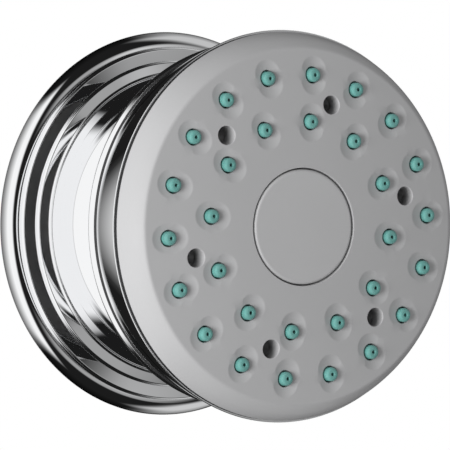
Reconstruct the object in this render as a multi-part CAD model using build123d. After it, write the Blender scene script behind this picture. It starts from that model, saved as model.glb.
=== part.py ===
from build123d import *
import math
import os

# A wall-mounted shower body jet. Depth is counted from the wall into the room, along -Y, and a
# section is drawn as (radius, depth) and turned about the Y axis. All sizes are in millimetres.

# Fits
SLIP = 0.05
BALL_SLIP = 0.06
THREAD_SLIP = 0.1
CAP_GAP = 0.2

# Neck sleeve
NECK_R = 39.1
NECK_WALL = 1.6
NECK_SEAT = 3.5
NECK_LIP = 2.4
NECK_LIP_T = 1.4
NECK_ROUND = 1.2
NECK_COVER = 1.9

# Wall rosette, from the neck outwards
COLLAR_T = 0.3
COLLAR_RISE = 0.6
COLLAR_ROUND = 0.5
CREST_WIDTH = 3.4
TIER_WIDTH = 3.5
RIM_LAND = 2.6
RIM_WIDTH = 1.4
RIM_EDGE = 0.3
RIM_HEIGHT = 3.0
RIM_ROUND = 0.5
LAND_ROUND = 5.4
TIER_RISE = 1.7
CREST_RISE = 1.25
TIER_SLOPE = 0.16
STEP_ROUND = 0.7
ROSETTE_WALL = 1.6
ROSETTE_LEDGE = 2.5
SEAL_INSET = 3.0
SEAL_WIDTH = 3.6
SEAL_T = 1.4

# Head shell
HEAD_GAP = 4.4
HEAD_START = 37.4
BEAD_WIDTH = 3.5
BEAD_ROUND = 3.0
BEAD_LENGTH = 4.9
CREASE_WIDTH = 1.4
CREASE_DEPTH = 0.8
FLARE = 3.25
FLARE_BOW = 0.35
FLARE_LENGTH = 13.7
SHELL_WALL = 1.8
SHELL_LEDGE_T = 1.6

# Face, cap and nozzles
FACE_SEAL_T = 0.6
FACE_SEAL_WIDTH = 2.2
FACE_SEAL_INSET = 0.6
FACE_INSET = 0.5
FACE_HEIGHT = 10.2
FACE_DOME_R = 380.0
FACE_RIM_WIDTH = 4.0
FACE_RIM_LEAN = 10.0
FACE_RIM_BLEND = 1.5
FACE_PLATE_BACK = 5.2
CAP_R = 14.85
CAP_POCKET = 3.4
CAP_SKIN = 1.4
CAP_SKIRT = 1.6
OUTER_RING_R = 38.9
OUTER_RING_COUNT = 18
OUTER_RING_ANGLE = 3.9
INNER_RING_R = 26.9
INNER_RING_COUNT = 12
INNER_RING_ANGLE = 23.9
AIR_RING_R = 32.3
AIR_COUNT = 6
AIR_ANGLE = 13.7
AIR_HOLE_R = 2.4
AIR_SLEEVE_WALL = 0.9
DISH_LENGTH = 10.0
DISH_WIDTH = 7.3
DISH_DEPTH = 0.65
DISH_INSET = 0.15
NOZZLE_R = 1.85
NOZZLE_GAP = 0.3
NOZZLE_SHOULDER = 0.65
NOZZLE_DOME = 0.95
NOZZLE_TIP_R = 0.85
NOZZLE_BORE_R = 1.1
ORIFICE_R = 0.42
ORIFICE_LENGTH = 1.2
MAT_T = 1.5

# Water chamber
CHAMBER_DEPTH = 6.4
CHAMBER_FLOOR = 2.5
CHAMBER_WALL = 2.0
CHAMBER_FLANGE = 2.1
CHAMBER_FLANGE_T = 2.0
AIR_TUBE_WALL = 1.4
BOSS_R = 3.1
BOSS_PORT_R = 1.2
BOSS_PORT_GAP = 0.3
BOSS_PORT_COUNT = 6
SCREW_R = 1.5
SCREW_GRIP = 5.0
SCREW_HEAD_R = 3.0
SCREW_HEAD_T = 1.6
SCREW_SLOT_W = 0.8
SCREW_SLOT_DEPTH = 0.8

# Ball joint
BALL_R = 10.5
BALL_SETBACK = 2.6
SEAT_T = 1.5
SEAL_ANGLES = (42.0, 70.0)
BUSHING_ANGLES = (100.0, 118.0)
NUT_END_ANGLE = 130.0
HUB_WALL = 2.2
NUT_WALL = 2.6
NUT_THREAD = 5.0
NUT_FLUTE_COUNT = 12
NUT_FLUTE_R = 1.1
STEM_R = 5.0
STEM_BORE_R = 3.4
STEM_COLLAR_R = 8.6
STEM_COLLAR_T = 5.0
STEM_COLLAR_GAP = 11.5
STEM_PLUG_R = 7.4
STEM_PLUG_LENGTH = 9.0

# Inlet
THREAD_R = 10.4775
THREAD_BEHIND = 16.0
THREAD_RUNOUT = 0.8
RELIEF_DEPTH = 1.2
INLET_START = 2.0
WASHER_T = 2.0
WASHER_OVERLAP = 2.9
HEX_FLATS = 27.0
HEX_LENGTH = 8.0
BARREL_R = 11.5
INLET_BORE_R = 5.0
FILTER_POCKET_R = 7.4
FILTER_POCKET_DEPTH = 11.0
FILTER_LENGTH = 6.0
FILTER_WALL = 0.6
FILTER_FLANGE_T = 1.0
FILTER_HOLE_R = 0.55
FILTER_RING_RADII = (2.0, 4.2)
FILTER_RING_COUNTS = (6, 12)
LIMITER_T = 3.0
LIMITER_PORT_R = 0.8
LIMITER_PORT_RING = 3.2
LIMITER_PORT_COUNT = 6

# Sleeve carrier
CARRIER_T = 6.0
CARRIER_HUB_WALL = 3.0
CARRIER_RIM = 3.4
CARRIER_WEB_T = 2.4
CARRIER_HOLE_R = 6.0
CARRIER_HOLE_COUNT = 6
NUT_HEX_FLATS = 30.0
NUT_HEX_T = 5.0
RING_CORD_R = 0.9
RING_SQUEEZE = 0.04

# Radii and depths that follow
NECK_INNER_R = NECK_R - NECK_WALL
TIER_R = NECK_R + CREST_WIDTH
RIM_R = TIER_R + TIER_WIDTH
LAND_R = RIM_R + RIM_LAND
ROSETTE_R = LAND_R + RIM_WIDTH
TIER_HEIGHT = RIM_HEIGHT + TIER_RISE
TIER_TOP = TIER_HEIGHT + TIER_SLOPE * TIER_WIDTH
CREST_HEIGHT = TIER_TOP + CREST_RISE
CREST_TOP = CREST_HEIGHT + TIER_SLOPE * CREST_WIDTH
MOUTH_R = NECK_R + HEAD_GAP
BEAD_R = MOUTH_R + BEAD_WIDTH
SHELL_FRONT_R = BEAD_R + FLARE
CREASE_START = HEAD_START + BEAD_LENGTH
FLARE_START = CREASE_START + CREASE_WIDTH
SHELL_FRONT = FLARE_START + FLARE_LENGTH
FACE_START = SHELL_FRONT + FACE_SEAL_T
FACE_R = SHELL_FRONT_R - FACE_INSET
FACE_CROWN = FACE_START + FACE_HEIGHT
FACE_BACK = FACE_START + FACE_PLATE_BACK
MAT_BACK = FACE_BACK - MAT_T
FLOOR_FRONT = MAT_BACK - CHAMBER_DEPTH
FLOOR_BACK = FLOOR_FRONT - CHAMBER_FLOOR
FLANGE_BACK = SHELL_FRONT - CHAMBER_FLANGE_T
FLANGE_R = SHELL_FRONT_R - SHELL_WALL - SLIP
CHAMBER_R = FLANGE_R - CHAMBER_FLANGE
FACE_SEAL_R = SHELL_FRONT_R - FACE_SEAL_INSET
SKIRT_R = FACE_SEAL_R - FACE_SEAL_WIDTH - SLIP
BALL_DEPTH = HEAD_START + BALL_SETBACK
SEAT_R = BALL_R + BALL_SLIP + SEAT_T
SOCKET_R = SEAT_R + BALL_SLIP
HUB_R = SOCKET_R + HUB_WALL
NUT_R = HUB_R + THREAD_SLIP + NUT_WALL
COLLAR_FRONT = BALL_DEPTH - STEM_COLLAR_GAP - SLIP
COLLAR_BACK = COLLAR_FRONT - STEM_COLLAR_T
PLUG_BACK = COLLAR_BACK - STEM_PLUG_LENGTH
RELIEF_R = THREAD_R - RELIEF_DEPTH
HEX_START = INLET_START + WASHER_T
HEX_END = HEX_START + HEX_LENGTH
CARRIER_START = HEX_END
CARRIER_END = CARRIER_START + CARRIER_T
CARRIER_R = NECK_INNER_R - SLIP
CHAMBER_INNER_R = CHAMBER_R - CHAMBER_WALL


def dome_depth(radius):
    """Depth of the domed face at a radius from the axis."""
    return FACE_CROWN - FACE_DOME_R + math.sqrt(FACE_DOME_R**2 - radius**2)


SECTION = Plane(origin=(0, 0, 0), x_dir=(1, 0, 0), z_dir=(0, 0, -1))


def turned(corners):
    """A solid of revolution from (radius, depth, corner round) points."""
    points = [(radius, depth) for radius, depth, _ in corners]
    rounds = [corner_round for _, _, corner_round in corners]
    outline = FilletPolyline(*points, radius=rounds, close=True)
    return revolve(SECTION * make_face(outline), Axis.Y)


def ring(inner_r, outer_r, start, end):
    """A plain ring or, with no inner radius, a disc between two depths."""
    corners = [(inner_r, start, 0), (outer_r, start, 0), (outer_r, end, 0), (inner_r, end, 0)]
    return turned(corners)


def o_ring(centre_r, depth, cord_r):
    """A round-section seal ring."""
    section = Pos(centre_r, depth) * Circle(cord_r)
    return revolve(SECTION * section, Axis.Y)


def around(shape, radius, count, turn):
    """Copies of a shape, drawn on the +X side at a radius of zero, set on a circle about the axis."""
    step = 360.0 / count
    return [Rot(0, -(turn + step * index), 0) * Pos(radius, 0, 0) * shape for index in range(count)]


def ball_zone(inner_r, outer_r, zone):
    """A ring between two spheres about the ball's centre, from one angle off the front to another."""
    def at(sphere_r, degrees):
        angle = math.radians(degrees)
        return (sphere_r * math.sin(angle), BALL_DEPTH + sphere_r * math.cos(angle))

    first, last = zone
    middle = (first + last) / 2
    inner = ThreePointArc(at(inner_r, first), at(inner_r, middle), at(inner_r, last))
    outer = ThreePointArc(at(outer_r, last), at(outer_r, middle), at(outer_r, first))
    sides = [Line(inner @ 1, outer @ 0), Line(outer @ 1, inner @ 0)]
    return revolve(SECTION * make_face([inner, outer] + sides), Axis.Y)


def ball(radius):
    """A ball about the swivel's centre."""
    return Pos(0, -BALL_DEPTH, 0) * Sphere(radius)


def hexagon(flats, start, end):
    """A hexagonal prism along the axis."""
    outline = RegularPolygon(flats / 2, 6, major_radius=False)
    return extrude(Plane(origin=(0, -start, 0), z_dir=(0, -1, 0)) * outline, end - start)


def wall_rosette():
    """Flange with a rounded rim, two sloped steps and a thin collar round the neck, hollow behind."""
    seat_r = NECK_R + SLIP
    collar_r = seat_r + COLLAR_T
    ledge_r = NECK_INNER_R - NECK_WALL
    hollow_r = seat_r + ROSETTE_WALL
    hollow_front = TIER_HEIGHT - ROSETTE_WALL
    seal_outer_r = ROSETTE_R - SEAL_INSET
    seal_inner_r = seal_outer_r - SEAL_WIDTH
    ledge_back = NECK_SEAT - ROSETTE_LEDGE
    return turned([
        (ROSETTE_R, 0, 0),
        (ROSETTE_R, RIM_EDGE, RIM_ROUND),
        (LAND_R, RIM_HEIGHT - TIER_SLOPE * RIM_LAND, LAND_ROUND),
        (RIM_R, RIM_HEIGHT, 0),
        (RIM_R, TIER_HEIGHT, STEP_ROUND),
        (TIER_R, TIER_TOP, 0),
        (TIER_R, CREST_HEIGHT, STEP_ROUND),
        (collar_r, CREST_TOP, COLLAR_ROUND),
        (collar_r, CREST_TOP + COLLAR_RISE, 0),
        (seat_r, CREST_TOP + COLLAR_RISE, 0),
        (seat_r, NECK_SEAT, 0),
        (ledge_r, NECK_SEAT, 0),
        (ledge_r, ledge_back, 0),
        (hollow_r, ledge_back, 0),
        (hollow_r, hollow_front, 0),
        (seal_inner_r, hollow_front, 0),
        (seal_inner_r, SEAL_T, 0),
        (seal_outer_r, SEAL_T, 0),
        (seal_outer_r, 0, 0),
    ])


def rosette_seal():
    """Soft ring in the rosette's back, level with its rim."""
    outer_r = ROSETTE_R - SEAL_INSET
    return ring(outer_r - SEAL_WIDTH, outer_r - SLIP, 0, SEAL_T)


def neck_sleeve():
    """Tube that seats in the rosette, with a small lip turned in at its front."""
    end = HEAD_START + NECK_COVER
    return turned([
        (NECK_INNER_R, NECK_SEAT, 0),
        (NECK_R, NECK_SEAT, 0),
        (NECK_R, end, NECK_ROUND),
        (NECK_INNER_R - NECK_LIP, end, 0),
        (NECK_INNER_R - NECK_LIP, end - NECK_LIP_T, 0),
        (NECK_INNER_R, end - NECK_LIP_T, 0),
    ])


def inlet_body():
    """Turned body: pipe thread with a relief, hexagon, barrel and the pockets bored in it."""
    plug_r = STEM_PLUG_R + SLIP
    body = turned([
        (INLET_BORE_R, -THREAD_BEHIND, 0),
        (THREAD_R, -THREAD_BEHIND, 0),
        (THREAD_R, INLET_START - THREAD_RUNOUT, 0),
        (RELIEF_R, INLET_START - THREAD_RUNOUT, 0),
        (RELIEF_R, HEX_START, 0),
        (BARREL_R, HEX_START, 0),
        (BARREL_R, COLLAR_BACK, 0),
        (plug_r, COLLAR_BACK, 0),
        (plug_r, PLUG_BACK, 0),
        (INLET_BORE_R, PLUG_BACK, 0),
    ])
    pocket_end = FILTER_POCKET_DEPTH - THREAD_BEHIND
    pocket = ring(0, FILTER_POCKET_R, -THREAD_BEHIND, pocket_end)
    flats = hexagon(HEX_FLATS, HEX_START, HEX_END) - ring(0, BARREL_R, HEX_START, HEX_END)
    return (body + flats) - pocket


def inlet_washer():
    """Flat washer on the relief behind the hexagon."""
    return ring(RELIEF_R + SLIP, THREAD_R + WASHER_OVERLAP, INLET_START, HEX_START)


def filter_screen():
    """Cup sieve with a flange, pierced in rings."""
    start = -THREAD_BEHIND
    cup_r = FILTER_POCKET_R - 2 * FILTER_WALL
    end = start + FILTER_LENGTH
    cup = turned([
        (0, end - FILTER_WALL, 0),
        (cup_r - FILTER_WALL, end - FILTER_WALL, 0),
        (cup_r - FILTER_WALL, start, 0),
        (FILTER_POCKET_R - SLIP, start, 0),
        (FILTER_POCKET_R - SLIP, start + FILTER_FLANGE_T, 0),
        (cup_r, start + FILTER_FLANGE_T, 0),
        (cup_r, end, 0),
        (0, end, 0),
    ])
    pierce = ring(0, FILTER_HOLE_R, end - 2 * FILTER_WALL, end + FILTER_WALL)
    holes = [pierce]
    for hole_ring_r, count in zip(FILTER_RING_RADII, FILTER_RING_COUNTS):
        holes += around(pierce, hole_ring_r, count, 0)
    return cup - holes


def limiter_back():
    """Depth of the flow limiter's rear face, with its seal ring in front of it."""
    return FILTER_POCKET_DEPTH - THREAD_BEHIND - 2 * RING_CORD_R - LIMITER_T


def flow_limiter():
    """Disc with a ring of small ports."""
    start = limiter_back()
    disc = ring(0, FILTER_POCKET_R - SLIP, start, start + LIMITER_T)
    port = ring(0, LIMITER_PORT_R, start - LIMITER_T, start + 2 * LIMITER_T)
    return disc - around(port, LIMITER_PORT_RING, LIMITER_PORT_COUNT, 0)


def limiter_o_ring():
    """Seal between the flow limiter and the end of its pocket."""
    centre_r = FILTER_POCKET_R - RING_CORD_R - SLIP
    return o_ring(centre_r, limiter_back() + LIMITER_T + RING_CORD_R, RING_CORD_R - RING_SQUEEZE)


def groove(bottom_r, depth, outwards):
    """Seal-ring groove, cut outwards or inwards from its bottom radius."""
    reach = 2 * RING_CORD_R
    inner_r = bottom_r if outwards else bottom_r - reach
    return ring(inner_r, inner_r + reach, depth - RING_CORD_R, depth + RING_CORD_R)


def sleeve_carrier():
    """Wheel with a hub, a pierced web and a grooved rim that centres the neck sleeve."""
    bore_r = BARREL_R + SLIP
    hub_r = bore_r + CARRIER_HUB_WALL
    rim_r = CARRIER_R - CARRIER_RIM
    middle = (CARRIER_START + CARRIER_END) / 2
    hub = ring(bore_r, hub_r, CARRIER_START, CARRIER_END)
    rim = ring(rim_r, CARRIER_R, CARRIER_START, CARRIER_END)
    web = ring(hub_r, rim_r, middle - CARRIER_WEB_T / 2, middle + CARRIER_WEB_T / 2)
    hole_r = min(CARRIER_HOLE_R, (rim_r - hub_r) / 2 - CARRIER_WEB_T)
    hole = ring(0, hole_r, CARRIER_START, CARRIER_END)
    windows = around(hole, (hub_r + rim_r) / 2, CARRIER_HOLE_COUNT, 0)
    return hub + rim + web - windows - groove(CARRIER_R - 2 * RING_CORD_R, middle, True)


def sleeve_o_ring():
    """Seal ring in the carrier's rim."""
    middle = (CARRIER_START + CARRIER_END) / 2
    return o_ring(CARRIER_R - RING_CORD_R, middle, RING_CORD_R - RING_SQUEEZE)


def carrier_nut():
    """Hexagon nut on the barrel, in front of the carrier."""
    end = CARRIER_END + NUT_HEX_T
    nut = hexagon(NUT_HEX_FLATS, CARRIER_END, end)
    return nut - ring(0, BARREL_R + SLIP, CARRIER_END, end)


def ball_stem():
    """Hollow stem: plug with a seal groove, hexagon collar, neck and ball."""
    shaft = turned([
        (STEM_BORE_R, PLUG_BACK, 0),
        (STEM_PLUG_R, PLUG_BACK, 0),
        (STEM_PLUG_R, COLLAR_BACK, 0),
        (STEM_R, COLLAR_BACK, 0),
        (STEM_R, BALL_DEPTH, 0),
        (STEM_BORE_R, BALL_DEPTH, 0),
    ])
    collar = hexagon(2 * STEM_COLLAR_R, COLLAR_BACK, COLLAR_FRONT)
    bore = ring(0, STEM_BORE_R, PLUG_BACK, BALL_DEPTH + BALL_R)
    seal_groove = groove(STEM_PLUG_R - 2 * RING_CORD_R, (PLUG_BACK + COLLAR_BACK) / 2, True)
    return shaft + collar + ball(BALL_R) - bore - seal_groove


def stem_o_ring():
    """Seal ring on the stem's plug."""
    middle = (PLUG_BACK + COLLAR_BACK) / 2
    return o_ring(STEM_PLUG_R - RING_CORD_R, middle, RING_CORD_R - RING_SQUEEZE)


def ball_bushing():
    """Rear seat ring of the ball."""
    return ball_zone(BALL_R + BALL_SLIP, SEAT_R, BUSHING_ANGLES)


def ball_seal():
    """Front seat ring of the ball."""
    return ball_zone(BALL_R + BALL_SLIP, SEAT_R, SEAL_ANGLES)


def swivel_nut():
    """Fluted collar with a spherical seat, screwed over the hub."""
    back = BALL_DEPTH + SOCKET_R * math.cos(math.radians(NUT_END_ANGLE))
    front = BALL_DEPTH + NUT_THREAD
    blank = turned([
        (0, back, 0),
        (NUT_R, back, NUT_FLUTE_R),
        (NUT_R, front, NUT_FLUTE_R / 2),
        (0, front, 0),
    ])
    thread = ring(0, HUB_R + THREAD_SLIP, BALL_DEPTH, front)
    flute = ring(0, NUT_FLUTE_R, back, front)
    return blank - thread - ball(SOCKET_R) - around(flute, NUT_R, NUT_FLUTE_COUNT, 0)


def chamber_back():
    """Water chamber: hub with the ball's socket, floor, rim wall, air tubes and screw boss."""
    body = turned([
        (0, BALL_DEPTH, 0),
        (HUB_R, BALL_DEPTH, 0),
        (HUB_R, FLOOR_BACK, 0),
        (CHAMBER_R, FLOOR_BACK, 0),
        (CHAMBER_R, FLANGE_BACK, 0),
        (FLANGE_R, FLANGE_BACK, 0),
        (FLANGE_R, SHELL_FRONT, 0),
        (CHAMBER_R, SHELL_FRONT, 0),
        (CHAMBER_R, MAT_BACK, 0),
        (CHAMBER_INNER_R, MAT_BACK, 0),
        (CHAMBER_INNER_R, FLOOR_FRONT, 0),
        (BOSS_R, FLOOR_FRONT, 0),
        (BOSS_R, MAT_BACK, 0),
        (0, MAT_BACK, 0),
    ])
    port_ring_r = BOSS_R + BOSS_PORT_GAP + BOSS_PORT_R
    socket = ball(SOCKET_R)
    tube = ring(0, AIR_HOLE_R + AIR_TUBE_WALL, FLOOR_BACK, MAT_BACK)
    air = ring(0, AIR_HOLE_R, FLOOR_BACK, MAT_BACK)
    port = ring(0, BOSS_PORT_R, BALL_DEPTH, FLOOR_FRONT)
    body = body + around(tube, AIR_RING_R, AIR_COUNT, AIR_ANGLE)
    cuts = around(air, AIR_RING_R, AIR_COUNT, AIR_ANGLE)
    cuts += around(port, port_ring_r, BOSS_PORT_COUNT, 0)
    screw_hole = ring(0, SCREW_R, MAT_BACK - SCREW_GRIP - SLIP, MAT_BACK)
    return body - cuts - [socket, screw_hole]


def head_shell():
    """Back shell: mouth round the neck, rounded bead, crease and a bowed flare, with a ledge inside."""
    bow_r = (BEAD_R + SHELL_FRONT_R) / 2 + FLARE_BOW
    bow_depth = FLARE_START + FLARE_LENGTH / 2
    ledge_back = FLOOR_BACK - SHELL_LEDGE_T
    crease_r = BEAD_R - CREASE_DEPTH
    inner_front_r = FLANGE_R + SLIP
    ledge_r = CHAMBER_R + SLIP
    inner_back_r = crease_r - SHELL_WALL
    outer = [
        FilletPolyline(
            (MOUTH_R, HEAD_START + BEAD_ROUND),
            (MOUTH_R, HEAD_START),
            (BEAD_R, HEAD_START),
            (BEAD_R, CREASE_START),
            radius=[(BEAD_WIDTH - BEAD_ROUND) / 2, BEAD_ROUND],
        ),
        Polyline(
            (BEAD_R, CREASE_START),
            (crease_r, CREASE_START),
            (crease_r, FLARE_START),
            (BEAD_R, FLARE_START),
        ),
        ThreePointArc((BEAD_R, FLARE_START), (bow_r, bow_depth), (SHELL_FRONT_R, SHELL_FRONT)),
    ]
    inner = Polyline(
        (SHELL_FRONT_R, SHELL_FRONT),
        (inner_front_r, SHELL_FRONT),
        (inner_front_r, FLANGE_BACK),
        (ledge_r, FLANGE_BACK),
        (ledge_r, ledge_back),
        (inner_back_r, FLARE_START),
        (inner_back_r, HEAD_START + BEAD_ROUND),
        (MOUTH_R, HEAD_START + BEAD_ROUND),
    )
    return revolve(SECTION * make_face(outer + [inner]), Axis.Y)


def face_seal():
    """Thin ring that closes the gap between the shell and the face."""
    return ring(FACE_SEAL_R - FACE_SEAL_WIDTH, FACE_SEAL_R, SHELL_FRONT, FACE_START)


def nozzle_places():
    """Ring radius, count and first angle of each nozzle ring."""
    outer = (OUTER_RING_R, OUTER_RING_COUNT, OUTER_RING_ANGLE)
    inner = (INNER_RING_R, INNER_RING_COUNT, INNER_RING_ANGLE)
    return [outer, inner]


def dish(ring_r):
    """Tool that sinks one oval dish in the dome: a fat rod with ball ends, lying along the radius."""
    half_width = DISH_WIDTH / 2
    rod_r = (half_width**2 + DISH_DEPTH**2) / (2 * DISH_DEPTH)
    half_length = (DISH_LENGTH - DISH_WIDTH) / 2
    bulge = rod_r * math.sqrt(0.5)
    tip = half_length + rod_r
    outline = [
        ThreePointArc((-tip, 0), (-half_length - bulge, bulge), (-half_length, rod_r)),
        Line((-half_length, rod_r), (half_length, rod_r)),
        ThreePointArc((half_length, rod_r), (half_length + bulge, bulge), (tip, 0)),
        Line((tip, 0), (-tip, 0)),
    ]
    rod = revolve(make_face(outline), Axis.X)
    centre_r = ring_r - DISH_INSET
    slope = math.degrees(math.asin(centre_r / FACE_DOME_R))
    lift = rod_r - DISH_DEPTH
    seat = Pos(-DISH_INSET, -dome_depth(centre_r), 0) * Rot(0, 0, slope)
    return seat * Pos(0, -lift, 0) * rod


def dish_floor(ring_r):
    """Depth of the dish's floor at its nozzle."""
    return dome_depth(ring_r) - DISH_DEPTH


def spray_face():
    """Domed face with a curved rim, dishes, nozzle holes, air sleeves and the cap's pocket."""
    pocket_r = CAP_R + CAP_GAP
    pocket_floor = FACE_CROWN - CAP_POCKET
    edge_r = FACE_R - FACE_RIM_WIDTH
    edge_depth = dome_depth(edge_r)
    middle_r = (edge_r + pocket_r) / 2
    lean = math.radians(FACE_RIM_LEAN)
    section = [
        Polyline(
            (SCREW_R + SLIP, FACE_BACK),
            (CHAMBER_R + SLIP, FACE_BACK),
            (CHAMBER_R + SLIP, SHELL_FRONT + SLIP),
            (SKIRT_R, SHELL_FRONT + SLIP),
            (SKIRT_R, FACE_START),
            (FACE_R, FACE_START),
        ),
        TangentArc(
            (FACE_R, FACE_START),
            (edge_r, edge_depth),
            tangent=(-math.sin(lean), math.cos(lean)),
        ),
        ThreePointArc(
            (edge_r, edge_depth),
            (middle_r, dome_depth(middle_r)),
            (pocket_r, dome_depth(pocket_r)),
        ),
        Polyline(
            (pocket_r, dome_depth(pocket_r)),
            (pocket_r, pocket_floor),
            (SCREW_R + SLIP, pocket_floor),
            (SCREW_R + SLIP, FACE_BACK),
        ),
    ]
    plate = revolve(SECTION * make_face(section), Axis.Y)
    circles = plate.edges().filter_by(GeomType.CIRCLE)
    rim_edge = circles.filter_by(lambda edge: abs(edge.radius - edge_r) < SLIP)
    plate = fillet(rim_edge, FACE_RIM_BLEND)
    sleeve = ring(0, AIR_HOLE_R + AIR_SLEEVE_WALL, MAT_BACK, FACE_BACK)
    plate = plate + around(sleeve, AIR_RING_R, AIR_COUNT, AIR_ANGLE)
    cuts = []
    for ring_r, count, turn in nozzle_places():
        hole = ring(0, NOZZLE_R + NOZZLE_GAP, FACE_BACK, FACE_CROWN)
        cuts += around(dish(ring_r), ring_r, count, turn)
        cuts += around(hole, ring_r, count, turn)
    cuts += around(ring(0, AIR_HOLE_R, MAT_BACK, FACE_CROWN), AIR_RING_R, AIR_COUNT, AIR_ANGLE)
    return plate - cuts


def nozzle_mat():
    """Silicone sheet with a domed nozzle standing in every dish, each with a bore and an orifice."""
    mat = ring(SCREW_R + SLIP, CHAMBER_R, MAT_BACK, FACE_BACK)
    nozzles = []
    air = ring(0, AIR_HOLE_R + AIR_SLEEVE_WALL + SLIP, MAT_BACK, FACE_BACK)
    bores = around(air, AIR_RING_R, AIR_COUNT, AIR_ANGLE)
    for ring_r, count, turn in nozzle_places():
        shoulder = dish_floor(ring_r) + NOZZLE_SHOULDER
        tip = shoulder + NOZZLE_DOME
        outline = [
            Polyline(
                (NOZZLE_TIP_R, tip),
                (0, tip),
                (0, MAT_BACK),
                (NOZZLE_R, MAT_BACK),
                (NOZZLE_R, shoulder),
            ),
            TangentArc((NOZZLE_R, shoulder), (NOZZLE_TIP_R, tip), tangent=(0, 1)),
        ]
        nozzle = revolve(SECTION * make_face(outline), Axis.Y)
        bore = ring(0, NOZZLE_BORE_R, MAT_BACK, tip - ORIFICE_LENGTH)
        orifice = ring(0, ORIFICE_R, MAT_BACK, tip)
        nozzles += around(nozzle, ring_r, count, turn)
        bores += around(bore, ring_r, count, turn) + around(orifice, ring_r, count, turn)
    return mat + nozzles - bores


def centre_cap():
    """Flush cap that carries the face's dome on, hollow over the screw."""
    floor = FACE_CROWN - CAP_POCKET
    edge_depth = dome_depth(CAP_R)
    inner_r = CAP_R - CAP_SKIRT
    outline = [
        Polyline(
            (0, FACE_CROWN),
            (0, edge_depth - CAP_SKIN),
            (inner_r, edge_depth - CAP_SKIN),
            (inner_r, floor),
            (CAP_R, floor),
            (CAP_R, edge_depth),
        ),
        ThreePointArc((CAP_R, edge_depth), (CAP_R / 2, dome_depth(CAP_R / 2)), (0, FACE_CROWN)),
    ]
    return revolve(SECTION * make_face(outline), Axis.Y)


def centre_screw():
    """Slotted cheese-head screw that clamps the face, mat and chamber."""
    seat = FACE_CROWN - CAP_POCKET
    top = seat + SCREW_HEAD_T
    screw = ring(0, SCREW_R, MAT_BACK - SCREW_GRIP, seat) + ring(0, SCREW_HEAD_R, seat, top)
    slot = Box(3 * SCREW_HEAD_R, SCREW_SLOT_DEPTH, SCREW_SLOT_W)
    return screw - Pos(0, SCREW_SLOT_DEPTH / 2 - top, 0) * slot


PIECES = {
    "wall_rosette": wall_rosette,
    "rosette_seal": rosette_seal,
    "neck_sleeve": neck_sleeve,
    "inlet_body": inlet_body,
    "inlet_washer": inlet_washer,
    "filter_screen": filter_screen,
    "flow_limiter": flow_limiter,
    "limiter_o_ring": limiter_o_ring,
    "sleeve_carrier": sleeve_carrier,
    "sleeve_o_ring": sleeve_o_ring,
    "carrier_nut": carrier_nut,
    "ball_stem": ball_stem,
    "stem_o_ring": stem_o_ring,
    "ball_bushing": ball_bushing,
    "ball_seal": ball_seal,
    "swivel_nut": swivel_nut,
    "chamber_back": chamber_back,
    "head_shell": head_shell,
    "face_seal": face_seal,
    "nozzle_mat": nozzle_mat,
    "spray_face": spray_face,
    "centre_screw": centre_screw,
    "centre_cap": centre_cap,
}

os.makedirs("parts", exist_ok=True)
for name, build in PIECES.items():
    export_step(build(), f"parts/{name}.step")
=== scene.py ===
"""Looks of a wall-mounted shower body jet, over the frame that its CAD build gives.

Depth is counted from the wall into the room, along -Y. A section is a row of (radius, depth)
points that is turned about the Y axis. Fields hold millimetres and degrees unless they say
otherwise, and meshes are in metres.
"""

import logging
import math
from dataclasses import dataclass, field, replace
from enum import Enum

import bmesh
import bpy
import numpy as np
from mathutils import Matrix, Vector
from mathutils.geometry import delaunay_2d_cdt


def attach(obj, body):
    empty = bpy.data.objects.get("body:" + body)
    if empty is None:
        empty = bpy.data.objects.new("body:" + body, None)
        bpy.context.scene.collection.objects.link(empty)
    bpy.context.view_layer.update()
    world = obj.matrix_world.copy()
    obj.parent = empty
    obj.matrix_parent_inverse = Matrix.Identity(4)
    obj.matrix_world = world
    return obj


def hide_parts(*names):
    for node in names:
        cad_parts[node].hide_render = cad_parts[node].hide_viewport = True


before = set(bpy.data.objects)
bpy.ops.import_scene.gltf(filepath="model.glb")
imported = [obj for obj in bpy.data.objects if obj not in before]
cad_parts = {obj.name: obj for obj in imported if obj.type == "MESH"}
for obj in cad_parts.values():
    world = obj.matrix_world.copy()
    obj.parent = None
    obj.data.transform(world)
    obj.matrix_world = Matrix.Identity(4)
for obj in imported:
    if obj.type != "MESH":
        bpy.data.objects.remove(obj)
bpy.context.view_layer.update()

LOG = logging.getLogger("body_jet")
MM = 0.001
WHITE = (1.0, 1.0, 1.0, 1.0)
# Columns round the axis of a small and of a large turned surface.
SEGMENTS, FINE = 256, 512
# Millimetres: how far a straight run's support lies from an arc, when two points of a section
# are one, and the slack of a triangulation.
SUPPORT, SAME, SNAP = 0.05, 1e-6, 1e-7
# Metres: how close points lie that are welded.
WELD = 2e-7
# Scales of the noise in a finish's roughness and colour, and millimetres that light goes into it.
HAZE, TONE, SOFT_DEPTH = 90.0, 35.0, 0.8

Array = np.ndarray
Socket = bpy.types.NodeSocket
Tree = bpy.types.NodeTree
Corner = tuple[float, ...]
Triple = tuple[float, float, float]
Stops = tuple[float, float, float, float]


class Body(Enum):
    """Bodies of the frame that new pieces ride on."""

    BASE = "base"
    HEAD = "head"


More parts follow.
